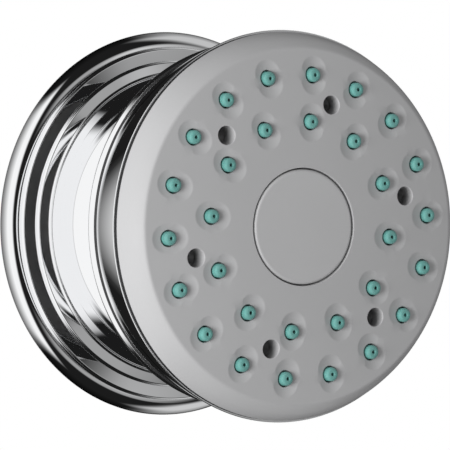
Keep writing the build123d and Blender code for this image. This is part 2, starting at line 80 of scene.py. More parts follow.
def rounded(corners: list[Corner], closed: bool = True, steps: int = 9) -> Array:
    """Row of section points through corners, each broken by a true arc.

    An arc of radius q leaves its corner by q tan(turn / 2) on both sides, and is the rational
    quadratic curve whose middle weight is cos(turn / 2). A point just outside each arc keeps the
    straight runs straight.

    Args:
        corners: (radius, depth) of each corner in order, and its round where it has one.
        closed: whether the last corner runs on to the first.
        steps: points in each arc.

    Returns:
        Array of (radius, depth) points.
    """
    rows = np.array([(*corner, 0.0)[:3] for corner in corners])
    points, rounds = rows[:, :2], rows[:, 2]
    after = np.roll(points, -1, axis=0) - points
    run = np.linalg.norm(after, axis=1)
    out = after / run[:, None]
    into = np.roll(out, 1, axis=0)
    if not closed:
        into[0], out[-1] = out[0], into[-1]
    half = np.arccos(np.clip((into * out).sum(axis=1), -1, 1)) / 2
    setback = rounds * np.tan(half)
    free = np.maximum(run - setback - np.roll(setback, -1), 0)
    start, end = points - into * setback[:, None], points + out * setback[:, None]
    t = np.linspace(0, 1, steps)[None, :, None]
    shares = [(1 - t) ** 2, 2 * t * (1 - t) * np.cos(half)[:, None, None], t**2]
    arcs = shares[0] * start[:, None] + shares[1] * points[:, None] + shares[2] * end[:, None]
    arcs = arcs / sum(shares)
    trail = np.minimum(SUPPORT, free / 3)[:, None]
    lead = np.roll(trail, 1, axis=0)
    first, last = (start - into * lead)[:, None], (end + out * trail)[:, None]
    row = np.concatenate([first, arcs, last], axis=1).reshape(-1, 2)
    if not closed:
        row = row[1:-1]
    apart = np.linalg.norm(np.diff(row, axis=0), axis=1) > SAME
    return row[np.concatenate([[True], apart])]


@dataclass(frozen=True)
class Circle:
    """Points round (x, z) seen from the front: radius, how many and the first one's angle."""

    radius: float
    count: int = SEGMENTS
    x: float = 0.0
    z: float = 0.0
    turn: float = 0.0

    def points(self, grow: float = 0.0) -> Array:
        """Rows (x, z): centre + radius (cos a, sin a), of the circle or of a wider one round it."""
        angle = np.radians(self.turn) + np.arange(self.count) * 2 * np.pi / self.count
        return (self.radius + grow) * np.array([np.cos(angle), np.sin(angle)]).T + (self.x, self.z)

    def clear(self, points: Array) -> Array:
        """How far each point (x, z) lies outside the circle."""
        return np.hypot(points[:, 0] - self.x, points[:, 1] - self.z) - self.radius


def circles(places: Array, radius: float, count: int) -> list[Circle]:
    """Equal circles round rows (x, z)."""
    return [Circle(radius, count, x, z) for x, z in places.tolist()]


def pierced(outer: Circle, holes: list[Circle], *extra: Array) -> tuple[Array, Array]:
    """Flat disc with round holes, as triangles between its edge, the holes and free points.

    Args:
        outer: edge of the disc.
        holes: edges of the holes.
        extra: blocks of free points (x, z) inside the disc, outside the holes.

    Returns:
        Points (x, z) and rows of three point numbers.
    """
    loops = [edge.points() for edge in (outer, *holes)]
    edges: list[tuple[int, int]] = []
    first = 0
    for loop in loops:
        index = first + np.arange(len(loop))
        edges += list(zip(index.tolist(), np.roll(index, -1).tolist()))
        first += len(loop)
    points = np.concatenate([*loops, *extra])
    made = delaunay_2d_cdt([Vector(p) for p in points.tolist()], edges, [], 0, SNAP)
    flat = np.array([tuple(p) for p in made[0]])
    faces = np.array(made[2])
    middle = flat[faces].mean(axis=1)
    keep = outer.clear(middle) < 0
    for hole in holes:
        keep &= hole.clear(middle) > 0
    return flat, faces[keep]


def link(name: str, data: bpy.types.ID) -> bpy.types.Object:
    """Adds an object to the scene, at the origin.

    Args:
        name: the object's name.
        data: its mesh, lamp or camera.

    Returns:
        The object.
    """
    made = bpy.data.objects.new(name, data)
    bpy.context.scene.collection.objects.link(made)
    return made


@dataclass
class Skin:
    """Points in millimetres and faces of one piece, gathered as whole arrays.

    Attributes:
        points: blocks of (x, y, z) points.
        faces: blocks of faces, as rows of point numbers.
        count: points gathered so far.
    """

    points: list[Array] = field(default_factory=list)
    faces: list[Array] = field(default_factory=list)
    count: int = 0

    def patch(self, points: Array, faces: Array) -> None:
        """Adds points and the faces between them.

        Args:
            points: rows (x, y, z).
            faces: rows of point numbers, counted from the first of these points.
        """
        self.points.append(points)
        self.faces.append(faces + self.count)
        self.count += len(points)

    def plate(self, flat: Array, faces: Array, depth: Array | float) -> None:
        """Adds a plate that was laid out as rows (x, z), at one depth or at each point's own."""
        back = np.broadcast_to(np.negative(depth), (len(flat),))
        self.patch(np.stack([flat[:, 0], back, flat[:, 1]], axis=1), faces)

    def grid(self, surface: Array) -> None:
        """Adds a grid of points as quads, its last column joined to the first.

        Args:
            surface: array of shape (rows, columns, 3).
        """
        rows, columns = surface.shape[:2]
        index = np.arange(rows * columns).reshape(rows, columns)
        right = np.roll(index, -1, axis=1)
        quads = np.stack([index[:-1], right[:-1], right[1:], index[1:]], axis=-1)
        self.patch(surface.reshape(-1, 3), quads.reshape(-1, 4))

    def turned(
        self, section: Array, closed: bool = True, segments: int = SEGMENTS,
        x: float = 0.0, z: float = 0.0,
    ) -> None:
        """Adds a surface of revolution.

        At angle a, section point (r, d) lies at (x + r cos a, -d, z + r sin a).

        Args:
            section: (radius, depth) points.
            closed: whether the section's last point joins its first.
            segments: columns round the axis.
            x: place of the axis from left to right.
            z: height of the axis.
        """
        if closed:
            section = np.concatenate([section, section[:1]])
        ring = Circle(1.0, segments).points()
        radius = section[:, 0, None]
        depth = np.broadcast_to(section[:, 1, None], (len(section), segments))
        self.grid(np.stack([x + radius * ring[:, 0], -depth, z + radius * ring[:, 1]], axis=-1))

    def wall(self, hole: Circle, front: float, back: float) -> None:
        """Adds the plain round wall of a hole between two depths."""
        ends = np.array([(hole.radius, front), (hole.radius, back)])
        self.turned(ends, False, hole.count, hole.x, hole.z)

    def mesh(self, name: str) -> bpy.types.Mesh:
        """Makes a mesh of what was gathered.

        Args:
            name: the mesh's name.

        Returns:
            The mesh, in metres.
        """
        mesh = bpy.data.meshes.new(name)
        faces = [face for block in self.faces for face in block.tolist()]
        mesh.from_pydata((np.concatenate(self.points) * MM).tolist(), [], faces)
        return mesh

    def finish(
        self, palette: "Palette", name: str, body: Body, slot: str, *nodes: str, look: str = ""
    ) -> None:
        """Welds the gathered faces into one object that rides on a body.

        Args:
            palette: the finishes.
            name: the piece's name.
            body: the body that it moves with.
            slot: the record's material slot.
            nodes: CAD nodes that it stands for.
            look: its finish, where that isn't the slot's own.
        """
        mesh = self.mesh(name)
        work = bmesh.new()
        work.from_mesh(mesh)
        bmesh.ops.remove_doubles(work, verts=work.verts, dist=WELD)
        bmesh.ops.dissolve_degenerate(work, edges=work.edges, dist=WELD)
        bmesh.ops.recalc_face_normals(work, faces=work.faces)
        work.to_mesh(mesh)
        work.free()
        mesh.shade_smooth()
        mesh.materials.append(palette[look or slot])
        piece = link(name, mesh)
        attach(piece, body.value)
        if nodes:
            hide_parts(*nodes)
        LOG.info("%s: %d faces", name, len(mesh.polygons))


@dataclass(frozen=True)
class Graph:
    """A node tree, with short calls to add and join nodes."""

    tree: Tree

    def add(
        self, kind: str, *values: object, operation: str = "",
        tree: Tree | None = None, **inputs: object,
    ) -> bpy.types.Node:
        """Adds a node and sets or joins its inputs.

        Args:
            kind: the node's type name, without ShaderNode before it.
            values: values or output sockets for its first inputs, in order.
            operation: what a node with a choice of sums does.
            tree: the group that a group node holds.
            inputs: values or output sockets for inputs by name, in lower case with underscores.

        Returns:
            The node.
        """
        node = self.tree.nodes.new("ShaderNode" + kind)
        if operation:
            node.operation = operation
        if tree is not None:
            node.node_tree = tree
        named = {s.name.lower().replace(" ", "_"): s for s in reversed(node.inputs)}
        for socket, value in zip(node.inputs, values):
            self.feed(socket, value)
        for name, value in inputs.items():
            self.feed(named[name], value)
        return node

    def feed(self, socket: Socket, value: object) -> None:
        """Fills an input.

        Args:
            socket: the input.
            value: an output socket to join to it, or a plain value.
        """
        if isinstance(value, Socket):
            self.tree.links.new(value, socket)
        else:
            socket.default_value = value

    def place(self) -> Socket:
        """Place of each point on the piece, in metres."""
        return self.add("TexCoord").outputs["Object"]


def new_material(name: str) -> tuple[bpy.types.Material, Graph]:
    """Starts a material with its default nodes.

    Args:
        name: the material's name.

    Returns:
        The material and the graph of its nodes.
    """
    made = bpy.data.materials.new(name)
    made.use_nodes = True
    return made, Graph(made.node_tree)


class Effects:
    """Shared node groups. Each gives only values, masks or normals that vary over a surface."""

    def __init__(self) -> None:
        """Builds every group once."""
        self.mottle = self._mottle()
        self.bumps = self._bumps()
        self.ring = self._ring()

    @staticmethod
    def _open(
        name: str, inputs: dict[str, float], output: str, kind: str
    ) -> tuple[Graph, dict[str, Socket], Socket]:
        """Starts a group with named sockets.

        Args:
            name: the group's name.
            inputs: default of each float input.
            output: name of its output.
            kind: socket type of its output.

        Returns:
            The graph, the group's inputs by name and its output.
        """
        tree = bpy.data.node_groups.new(name, "ShaderNodeTree")
        for label, value in inputs.items():
            made = tree.interface.new_socket(label, in_out="INPUT", socket_type="NodeSocketFloat")
            made.default_value = value
        tree.interface.new_socket(output, in_out="OUTPUT", socket_type=kind)
        given = {s.name: s for s in tree.nodes.new("NodeGroupInput").outputs if s.name}
        return Graph(tree), given, tree.nodes.new("NodeGroupOutput").inputs[output]

    def _mottle(self) -> Tree:
        """Soft uneven value between two limits, as haze and handling leave on a surface.

        Returns:
            The group.
        """
        limits = {"Scale": 60.0, "Low": 0.0, "High": 1.0}
        graph, given, out = self._open("soft_mottle", limits, "Value", "NodeSocketFloat")
        place = graph.place()
        noise = graph.add("TexNoise", place, scale=given["Scale"], detail=4.0, roughness=0.6)
        span = graph.add(
            "MapRange", noise.outputs[0], from_min=0.3, from_max=0.7,
            to_min=given["Low"], to_max=given["High"],
        )
        graph.feed(out, span.outputs[0])
        return graph.tree

    def _bumps(self) -> Tree:
        """Normal of a fine noise, whose grains can be stretched along the height of the piece.

        Returns:
            The group.
        """
        sizes = {"Scale": 3000.0, "Detail": 3.0, "Stretch": 1.0, "Strength": 0.1, "Height": 2e-5}
        graph, given, out = self._open("fine_bumps", sizes, "Normal", "NodeSocketVector")
        x, y, z = graph.add("SeparateXYZ", graph.place()).outputs
        low = graph.add("Math", z, given["Stretch"], operation="DIVIDE")
        place = graph.add("CombineXYZ", x, y, low.outputs[0]).outputs[0]
        noise = graph.add("TexNoise", place, scale=given["Scale"], detail=given["Detail"])
        bump = graph.add(
            "Bump", strength=given["Strength"], distance=given["Height"], height=noise.outputs[0]
        )
        graph.feed(out, bump.outputs[0])
        return graph.tree

    def _ring(self) -> Tree:
        """Painted shade: share of its colour that a turned edge keeps, 1 down to a low share
        between two radii.

        Returns:
            The group.
        """
        limits = {"Start": 0.0, "End": 1.0, "Low": 0.0}
        graph, given, out = self._open("edge_ring", limits, "Value", "NodeSocketFloat")
        flat = graph.add("VectorMath", graph.place(), (1.0, 0.0, 1.0), operation="MULTIPLY")
        reach = graph.add("VectorMath", flat.outputs[0], operation="LENGTH")
        span = graph.add(
            "MapRange", reach.outputs["Value"], from_min=given["Start"], from_max=given["End"],
            to_min=1.0, to_max=given["Low"],
        )
        graph.feed(out, span.outputs[0])
        return graph.tree


class Texture(Enum):
    """What breaks up a finish at close range: nothing, or a noise's stretch and detail."""

    POLISH = None
    GRAIN = (1.0, 3.0)
    BRUSHED = (40.0, 2.0)


@dataclass(frozen=True)
class Finish:
    """A finish: one Principled surface whose colour, gloss and normal vary by the shared effects.

    Attributes:
        name: that of the record's material slot, or its own.
        colour: linear colour.
        rough: lowest and highest roughness.
        shade: the colour's darkest share in its mottle.
        metallic: how much of a metal it is, from 0 to 1.
        texture: what breaks it up at close range.
        scale: scale of that texture's noise.
        strength: strength of that texture's normal.
        soft: subsurface weight, for silicone and pale plastic.
        edge: radii between which painted shade darkens a turned edge, and the share of the colour
            left there.
    """

    name: str
    colour: Triple
    rough: tuple[float, float]
    shade: float = 0.94
    metallic: float = 0.0
    texture: Texture = Texture.GRAIN
    scale: float = 3000.0
    strength: float = 0.1
    soft: float = 0.0
    edge: Triple | None = None

    def material(self, effects: Effects) -> bpy.types.Material:
        """Builds the material.

        Args:
            effects: the shared node groups.

        Returns:
            The material.
        """
        made, graph = new_material(self.name)
        low, high = self.rough
        haze = graph.add("Group", tree=effects.mottle, scale=HAZE, low=low, high=high)
        tone = graph.add("Group", tree=effects.mottle, scale=TONE, low=self.shade, high=1.0)
        share = tone.outputs[0]
        # Painted shade: the colour falls towards a turned edge between two radii.
        if self.edge:
            start, end, left = self.edge
            ring = graph.add("Group", start * MM, end * MM, left, tree=effects.ring)
            share = graph.add("Math", share, ring.outputs[0], operation="MULTIPLY").outputs[0]
        colour = graph.add("VectorMath", self.colour, operation="SCALE", scale=share)
        inputs = {
            "Base Color": colour.outputs[0],
            "Roughness": haze.outputs[0],
            "Metallic": self.metallic,
        }
        if self.texture.value:
            stretch, detail = self.texture.value
            close = graph.add(
                "Group", tree=effects.bumps, scale=self.scale, detail=detail, stretch=stretch,
                strength=self.strength,
            )
            inputs["Normal"] = close.outputs[0]
        if self.soft:
            inputs["Subsurface Weight"] = self.soft
            inputs["Subsurface Radius"] = self.colour
            inputs["Subsurface Scale"] = SOFT_DEPTH * MM
        shader = made.node_tree.nodes["Principled BSDF"]
        for name, value in inputs.items():
            graph.feed(shader.inputs[name], value)
        return made


GRAIN, BRUSHED = Texture.GRAIN, Texture.BRUSHED
CHROME = Finish("chrome", (0.93, 0.935, 0.945), (0.012, 0.03), 0.985, 1.0, Texture.POLISH)
FINISHES = (
    CHROME,
    # The rosette's chrome, with painted shade darkening its outer rim from 48.8 to 50 mm.
    replace(CHROME, name="chrome_rim", edge=(48.8, 50.0, 0.14)),
    replace(CHROME, name="plated_ball", colour=(0.85, 0.86, 0.88), rough=(0.05, 0.1), shade=0.96),
    Finish("brass", (0.72, 0.5, 0.24), (0.2, 0.34), 0.85, 1.0, GRAIN, 1500.0, 0.15),
    Finish("steel", (0.6, 0.6, 0.61), (0.25, 0.38), 0.9, 1.0, GRAIN, 1500.0, 0.12),
    Finish("black_rubber", (0.012, 0.012, 0.013), (0.45, 0.65), 0.7, 0, GRAIN, 2500.0, 0.25),
    Finish("teal_silicone", (0.107, 0.285, 0.26), (0.32, 0.46), 0.9, 0, GRAIN, 3500.0, 0.12, 0.15),
    Finish("grey_face", (0.385, 0.385, 0.39), (0.38, 0.46), 0.97, 0.15, GRAIN, 6000.0, 0.1),
    Finish("satin_cap", (0.415, 0.415, 0.42), (0.34, 0.42), 0.96, 0.15, BRUSHED, 3500.0, 0.12),
    Finish("white_plastic", (0.78, 0.78, 0.76), (0.34, 0.48), 0.93, 0, GRAIN, 1800.0, 0.15, 0.05),
    Finish("dark_plastic", (0.4, 0.4, 0.405), (0.36, 0.52), 0.8, 0, GRAIN, 1800.0, 0.2),
)


class Palette(dict[str, bpy.types.Material]):
    """Every finish as a material, by the finish's name."""

    def __init__(self) -> None:
        """Builds the materials."""
        effects = Effects()
        super().__init__((finish.name, finish.material(effects)) for finish in FINISHES)

    def dress_nodes(self) -> None:
        """Gives every CAD node the material of its slot in the record."""
        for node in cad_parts.values():
            for slot in node.material_slots:
                key = slot.material.name.split(".")[0] if slot.material else ""
                slot.material = self.get(key, slot.material)


@dataclass(frozen=True)
class Piece:
    """A sub-assembly, with the finishes that dress it."""

    palette: Palette


@dataclass(frozen=True)
class Rosette(Piece):
    """Flange on the wall: rounded rim, two sloped steps and a thin collar, hollow behind."""

    outer_r: float = 50.0
    land_r: float = 48.6
    rim_r: float = 46.0
    tier_r: float = 42.5
    neck_r: float = 39.1
    seat_r: float = 39.15
    ledge_r: float = 35.9
    edge: float = 0.3
    rim: float = 3.0
    tier: float = 4.7
    crest_rise: float = 1.25
    slope: float = 0.16
    crest_slope: float = 0.26
    collar_t: float = 0.3
    collar_rise: float = 0.6
    seat: float = 3.5
    wall: float = 1.6
    ledge_back: float = 1.0
    seal_outer_r: float = 47.0
    seal_inner_r: float = 43.4
    seal_t: float = 1.4
    rim_round: float = 0.5
    land_round: float = 5.4
    step_round: float = 0.7
    collar_round: float = 0.5
    collar_edge: float = 0.12
    nook: float = 0.12
    foot_round: float = 0.08
    arc_steps: int = 13

    def build(self) -> None:
        """Turns the piece's section."""
        tier_top = self.tier + self.slope * (self.rim_r - self.tier_r)
        crest = tier_top + self.crest_rise
        crest_top = crest + self.crest_slope * (self.tier_r - self.neck_r)
        collar_r = self.seat_r + self.collar_t
        hollow_r, hollow = self.seat_r + self.wall, self.tier - self.wall
        skin = Skin()
        skin.turned(rounded([
            (self.outer_r, 0, self.foot_round),
            (self.outer_r, self.edge, self.rim_round),
            (self.land_r, self.rim - self.slope * (self.land_r - self.rim_r), self.land_round),
            (self.rim_r, self.rim, self.nook),
            (self.rim_r, self.tier, self.step_round),
            (self.tier_r, tier_top, self.nook),
            (self.tier_r, crest, self.step_round),
            (collar_r, crest_top, self.collar_round),
            (collar_r, crest_top + self.collar_rise, self.collar_edge),
            (self.seat_r, crest_top + self.collar_rise),
            (self.seat_r, self.seat),
            (self.ledge_r, self.seat),
            (self.ledge_r, self.ledge_back),
            (hollow_r, self.ledge_back),
            (hollow_r, hollow),
            (self.seal_inner_r, hollow),
            (self.seal_inner_r, self.seal_t),
            (self.seal_outer_r, self.seal_t),
            (self.seal_outer_r, 0),
        ], steps=self.arc_steps), segments=FINE)
        # Its finish paints shade on the outer rim.
        skin.finish(self.palette, "rosette", Body.BASE, "chrome", "wall_rosette", look="chrome_rim")


@dataclass(frozen=True)
class Neck(Piece):
    """Tube between the rosette and the head, with a lip turned in at its front."""

    outer_r: float = 39.1
    inner_r: float = 37.5
    start: float = 3.5
    end: float = 39.3
    lip: float = 2.4
    lip_t: float = 1.4
    front_round: float = 1.2
    nook: float = 0.15

    def build(self) -> None:
        """Turns the piece's section."""
        skin = Skin()
        skin.turned(rounded([
            (self.inner_r, self.start),
            (self.outer_r, self.start),
            (self.outer_r, self.end, self.front_round),
            (self.inner_r - self.lip, self.end, self.nook),
            (self.inner_r - self.lip, self.end - self.lip_t, self.nook),
            (self.inner_r, self.end - self.lip_t, self.nook),
        ]), segments=FINE)
        skin.finish(self.palette, "neck", Body.BASE, "chrome", "neck_sleeve")


@dataclass(frozen=True)
class Inlet(Piece):
    """Brass inlet: half-inch pipe thread, relief, chamfered hexagon and bored barrel."""

    thread_r: float = 10.4775
    pitch: float = 1.814
    thread_depth: float = 1.162
    back: float = -16.0
    thread_front: float = 1.2
    thread_chamfer: float = 1.0
    thread_rows: int = 16
    relief_r: float = 9.2775
    hex_start: float = 4.0
    hex_end: float = 12.0
    hex_flats: float = 27.0
    hex_chamfer: float = 0.3
    chamfer_run: float = 1.73
    hex_rows: int = 24
    barrel_r: float = 11.5
    front: float = 23.45
    front_round: float = 0.4
    plug_r: float = 7.45
    plug_back: float = 14.45
    plug_round: float = 0.3
    bore_r: float = 5.0
    pocket_r: float = 7.4
    pocket_end: float = -5.0
    pocket_round: float = 0.2
    columns: int = 192

    def _angles(self) -> Array:
        """Angles of the columns round the axis."""
        return np.arange(self.columns) * 2 * np.pi / self.columns

    def _thread(self) -> tuple[Array, Array]:
        """Radius and depth of the thread's surface.

        At depth d and angle a, a point's phase is 2 pi d / pitch - a, and its radius is the crest
        less the thread's depth times (1 + cos(phase)) / 2, held under a chamfer at the back.

        Returns:
            Arrays (rows, columns) of radii and of depths.
        """
        rows = int((self.thread_front - self.back) / self.pitch * self.thread_rows)
        depth = np.linspace(self.back, self.thread_front, rows)[:, None]
        phase = 2 * np.pi * depth / self.pitch - self._angles()[None]
        crest = self.thread_r - self.thread_depth * (1 + np.cos(phase)) / 2
        risen = np.clip((depth - self.back) / self.thread_chamfer, 0, 1)
        chamfer = self.thread_r - self.thread_depth + risen * self.thread_depth
        radius = np.minimum(crest, chamfer)
        return radius, np.broadcast_to(depth, radius.shape)

    def _hexagon(self) -> tuple[Array, Array]:
        """Radius and depth of the hexagon's sides.

        At angle a from the nearest flat's middle, the radius is half the width over the flats
        divided by cos(a), held under a cone at both ends.

        Returns:
            Arrays (rows, columns) of radii and of depths.
        """
        share = (1 - np.cos(np.linspace(0, np.pi, self.hex_rows))) / 2
        depth = (self.hex_start + (self.hex_end - self.hex_start) * share)[:, None]
        from_flat = (self._angles() + np.pi / 6) % (np.pi / 3) - np.pi / 6
        side = self.hex_flats / 2 / np.cos(from_flat)[None]
        room = np.minimum(depth - self.hex_start, self.hex_end - depth)
        cone = self.hex_flats / 2 - self.hex_chamfer + self.chamfer_run * room
        radius = np.minimum(side, cone)
        return radius, np.broadcast_to(depth, radius.shape)

    def build(self) -> None:
        """Joins the thread, the hexagon and the turned runs in one closed skin."""
        relief = rounded([
            (self.relief_r, self.thread_front),
            (self.relief_r, self.hex_start),
        ], closed=False)
        barrel = rounded([
            (self.barrel_r, self.hex_end),
            (self.barrel_r, self.front, self.front_round),
            (self.plug_r, self.front, self.plug_round),
            (self.plug_r, self.plug_back),
            (self.bore_r, self.plug_back),
            (self.bore_r, self.pocket_end),
            (self.pocket_r, self.pocket_end),
            (self.pocket_r, self.back, self.pocket_round),
            (self.thread_r - self.thread_depth, self.back),
        ], closed=False)
        angle = self._angles()
        neck, tube = (np.repeat(run.T[..., None], len(angle), axis=2) for run in (relief, barrel))
        parts = (self._thread(), neck, self._hexagon(), tube)
        radius, depth = (np.concatenate([part[axis] for part in parts]) for axis in (0, 1))
        skin = Skin()
        skin.grid(np.stack([radius * np.cos(angle), -depth, radius * np.sin(angle)], axis=-1))
        skin.finish(self.palette, "inlet", Body.BASE, "brass", "inlet_body")


@dataclass(frozen=True)
class HeadShell(Piece):
    """Back shell of the head: mouth, rounded bead, crease and bowed flare, with a ledge inside."""

    mouth_r: float = 43.5
    bead_r: float = 47.0
    front_r: float = 50.25
    start: float = 37.4
    crease_start: float = 42.3
    flare_start: float = 43.7
    front: float = 57.4
    bead_round: float = 3.0
    crease: float = 0.8
    bow: float = 0.05
    wall: float = 1.8
    ledge_r: float = 46.35
    ledge_front: float = 55.4
    ledge_back: float = 51.2
    lip_round: float = 0.2
    nook: float = 0.1
    line_t: float = 0.74
    bow_steps: int = 20

    def build(self) -> None:
        """Turns the piece's section.

        At share t of its length, the flare stands 4 t (1 - t) times its bow off a straight line.
        """
        crease_r = self.bead_r - self.crease
        share = np.linspace(0, 1, self.bow_steps)[1:-1]
        swell = 4 * self.bow * share * (1 - share)
        bowed = zip(
            self.bead_r + (self.front_r - self.bead_r) * share + swell,
            self.flare_start + (self.front - self.flare_start) * share,
        )
        inner_front_r = self.front_r - self.wall
        inner_back_r = crease_r - self.wall
        skin = Skin()
        skin.turned(rounded([
            (self.mouth_r, self.start + self.bead_round),
            (self.mouth_r, self.start, self.lip_round),
            (self.bead_r, self.start, self.bead_round),
            (self.bead_r, self.crease_start, self.lip_round),
            (crease_r, self.crease_start, self.nook),
            (crease_r, self.flare_start, self.nook),
            (self.bead_r, self.flare_start, self.lip_round),
            *bowed,
            (self.front_r, self.front, self.lip_round),
            (inner_front_r, self.front, self.nook),
            (inner_front_r, self.ledge_front),
            (self.ledge_r, self.ledge_front),
            (self.ledge_r, self.ledge_back),
            (inner_back_r, self.flare_start),
            (inner_back_r, self.start + self.bead_round),
        ]), segments=FINE)
        skin.finish(self.palette, "shell", Body.HEAD, "chrome", "head_shell")
        self._line()

    def _line(self) -> None:
        """Fills the bottom of the crease with a dark band of painted shade."""
        floor_r = self.bead_r - self.crease
        low_r, top_r = floor_r - self.nook, floor_r + self.line_t
        skin = Skin()
        skin.turned(rounded([
            (low_r, self.crease_start),
            (top_r, self.crease_start),
            (top_r, self.flare_start),
            (low_r, self.flare_start),
        ]), segments=FINE)
        # Painted shade: a black band stands in for the shade at the crease's floor.
        skin.finish(self.palette, "crease_line", Body.HEAD, "black_rubber")


@dataclass(frozen=True)
class SprayFace(Piece):
    """Domed face with a rounded rim, oval dishes, nozzle holes, air holes and the cap's pocket.

    The fields from lip_rows on set how finely it is laid out: rows round a hole in shares of its
    lip, rows of a dish in shares of half its width, and the room between them.
    """

    outer_r: float = 49.75
    start: float = 58.0
    crown: float = 68.2
    back: float = 63.2
    dome_r: float = 380.0
    rim_width: float = 4.0
    rim_lean: float = 10.0
    rim_blend: float = 1.5
    rim_steps: int = 14
    skirt_r: float = 47.4
    skirt_start: float = 57.45
    recess_r: float = 46.35
    sleeve_back: float = 61.7
    sleeve_r: float = 3.3
    pocket_edge: Circle = Circle(15.05)
    pocket: float = 3.4
    screw_r: float = 1.55
    outer_ring: Circle = Circle(38.9, 18, turn=3.9)
    inner_ring: Circle = Circle(26.9, 12, turn=23.9)
    air_ring: Circle = Circle(32.3, 6, turn=13.7)
    air_r: float = 2.4
    hole_r: float = 2.15
    dish_length: float = 10.0
    dish_width: float = 7.3
    dish_depth: float = 0.65
    dish_inset: float = 0.15
    dish_edge: float = 0.035
    lip: float = 0.22
    edge_round: float = 0.3
    hole_points: int = 48
    lip_rows: tuple[float, ...] = (0.1, 0.25, 0.45, 0.7, 1.0, 1.4)
    lip_room: float = 2.0
    wall_rows: int = 6
    dish_rows: int = 15
    dish_points: int = 56
    row_start: float = 0.35
    row_span: float = 0.75
    row_ease: float = 0.1
    dish_room: float = 1.17
    rod_limit: float = 0.999
    field_step: float = 1.3

    def dome(self, radius: Array | float) -> Array:
        """Depth of the dome at a radius from the axis."""
        return self.crown - self.dome_r + np.sqrt(self.dome_r**2 - np.square(radius))

    def nozzles(self) -> Array:
        """Rows (x, z) of all nozzles, the outer ring first."""
        return np.concatenate([self.outer_ring.points(), self.inner_ring.points()])

    def holes(self) -> list[Circle]:
        """Nozzle holes, then air holes."""
        air = circles(self.air_ring.points(), self.air_r, self.hole_points)
        return circles(self.nozzles(), self.hole_r, self.hole_points) + air

    def disc_r(self) -> float:
        """Radius at which the domed disc ends and the rim begins."""
        return self.outer_r - self.rim_width - self.rim_blend / 2

    def dish_half(self) -> float:
        """Half the length of a dish's middle line."""
        return (self.dish_length - self.dish_width) / 2

    def dish_offset(self, points: Array) -> Array:
        """Distance of each point from the nearest dish's middle line, which lies along a radius.

        Args:
            points: rows (x, z).

        Returns:
            Distances.
        """
        places = self.nozzles()
        reach = np.linalg.norm(places, axis=1)
        outwards = places / reach[:, None]
        centre = outwards * (reach - self.dish_inset)[:, None]
        half = self.dish_half()
        away = points[:, None] - centre[None]
        along = (away * outwards[None]).sum(axis=2)
        across = away - np.clip(along, -half, half)[..., None] * outwards[None]
        return np.linalg.norm(across, axis=2).min(axis=1)

    def depth(self, points: Array) -> Array:
        """Depth of the face's front: the dome, sunk in the dishes and rounded at every hole.

        A dish is the space that a fat rod with ball ends takes out of the dome, and its edge is
        eased by (h + sqrt(h^2 + e^2)) / 2 on the sunk height h. A hole's lip falls by a quarter
        circle.

        Args:
            points: rows (x, z).

        Returns:
            Depth at each point.
        """
        half_width = self.dish_width / 2
        rod_r = (half_width**2 + self.dish_depth**2) / (2 * self.dish_depth)
        offset = np.minimum(self.dish_offset(points), self.rod_limit * rod_r)
        sunk = np.sqrt(rod_r**2 - offset**2) - (rod_r - self.dish_depth)
        sunk = (sunk + np.sqrt(sunk**2 + self.dish_edge**2)) / 2
        for hole in (*self.holes(), self.pocket_edge):
            inside = np.clip(self.lip - hole.clear(points), 0, self.lip)
            sunk = sunk + self.lip - np.sqrt(np.maximum(self.lip**2 - inside**2, 0))
        return self.dome(np.hypot(points[:, 0], points[:, 1])) - sunk

    def depth_at(self, radius: float) -> float:
        """Depth of the face's front at a radius, straight to the right."""
        return float(self.depth(np.array([[radius, 0.0]]))[0])

    def free_points(self) -> Array:
        """Points that follow the dishes, the lips and the open dome.

        Returns:
            Rows (x, z).
        """
        share = np.linspace(0, 1, self.dish_rows)
        ease = self.row_ease * np.sin(2 * np.pi * share) / 2
        rows = self.dish_width / 2 * (self.row_start + self.row_span * share - ease)
        angle = np.arange(self.dish_points) * 2 * np.pi / self.dish_points
        ends = np.sign(np.cos(angle))[None] * self.dish_half()
        along = np.cos(angle)[None] * rows[:, None] + ends
        across = np.sin(angle)[None] * rows[:, None]
        oval = np.stack([along.ravel(), across.ravel()], axis=1)
        clouds = []
        for x, z in self.nozzles().tolist():
            reach = math.hypot(x, z)
            out = np.array([x, z]) / reach
            side = np.array([-out[1], out[0]])
            middle = out * (reach - self.dish_inset)
            clouds.append(middle + oval[:, :1] * out + oval[:, 1:] * side)
        first_r = self.pocket_edge.radius + self.field_step
        rings = np.arange(first_r, self.disc_r(), self.field_step)
        open_dome = np.concatenate(
            [Circle(r, int(2 * math.pi * r / self.field_step)).points() for r in rings.tolist()]
        )
        apart = self.dish_offset(open_dome) > self.dish_width / 2 * self.dish_room
        points = np.concatenate([*clouds, open_dome[apart]])
        room = self.lip * self.lip_room
        keep = np.hypot(points[:, 0], points[:, 1]) < self.disc_r() - room
        lips = []
        for hole in (self.pocket_edge, *self.holes()):
            keep &= hole.clear(points) > room
            lips += [hole.points(self.lip * step) for step in self.lip_rows]
        return np.concatenate([points[keep], *lips])

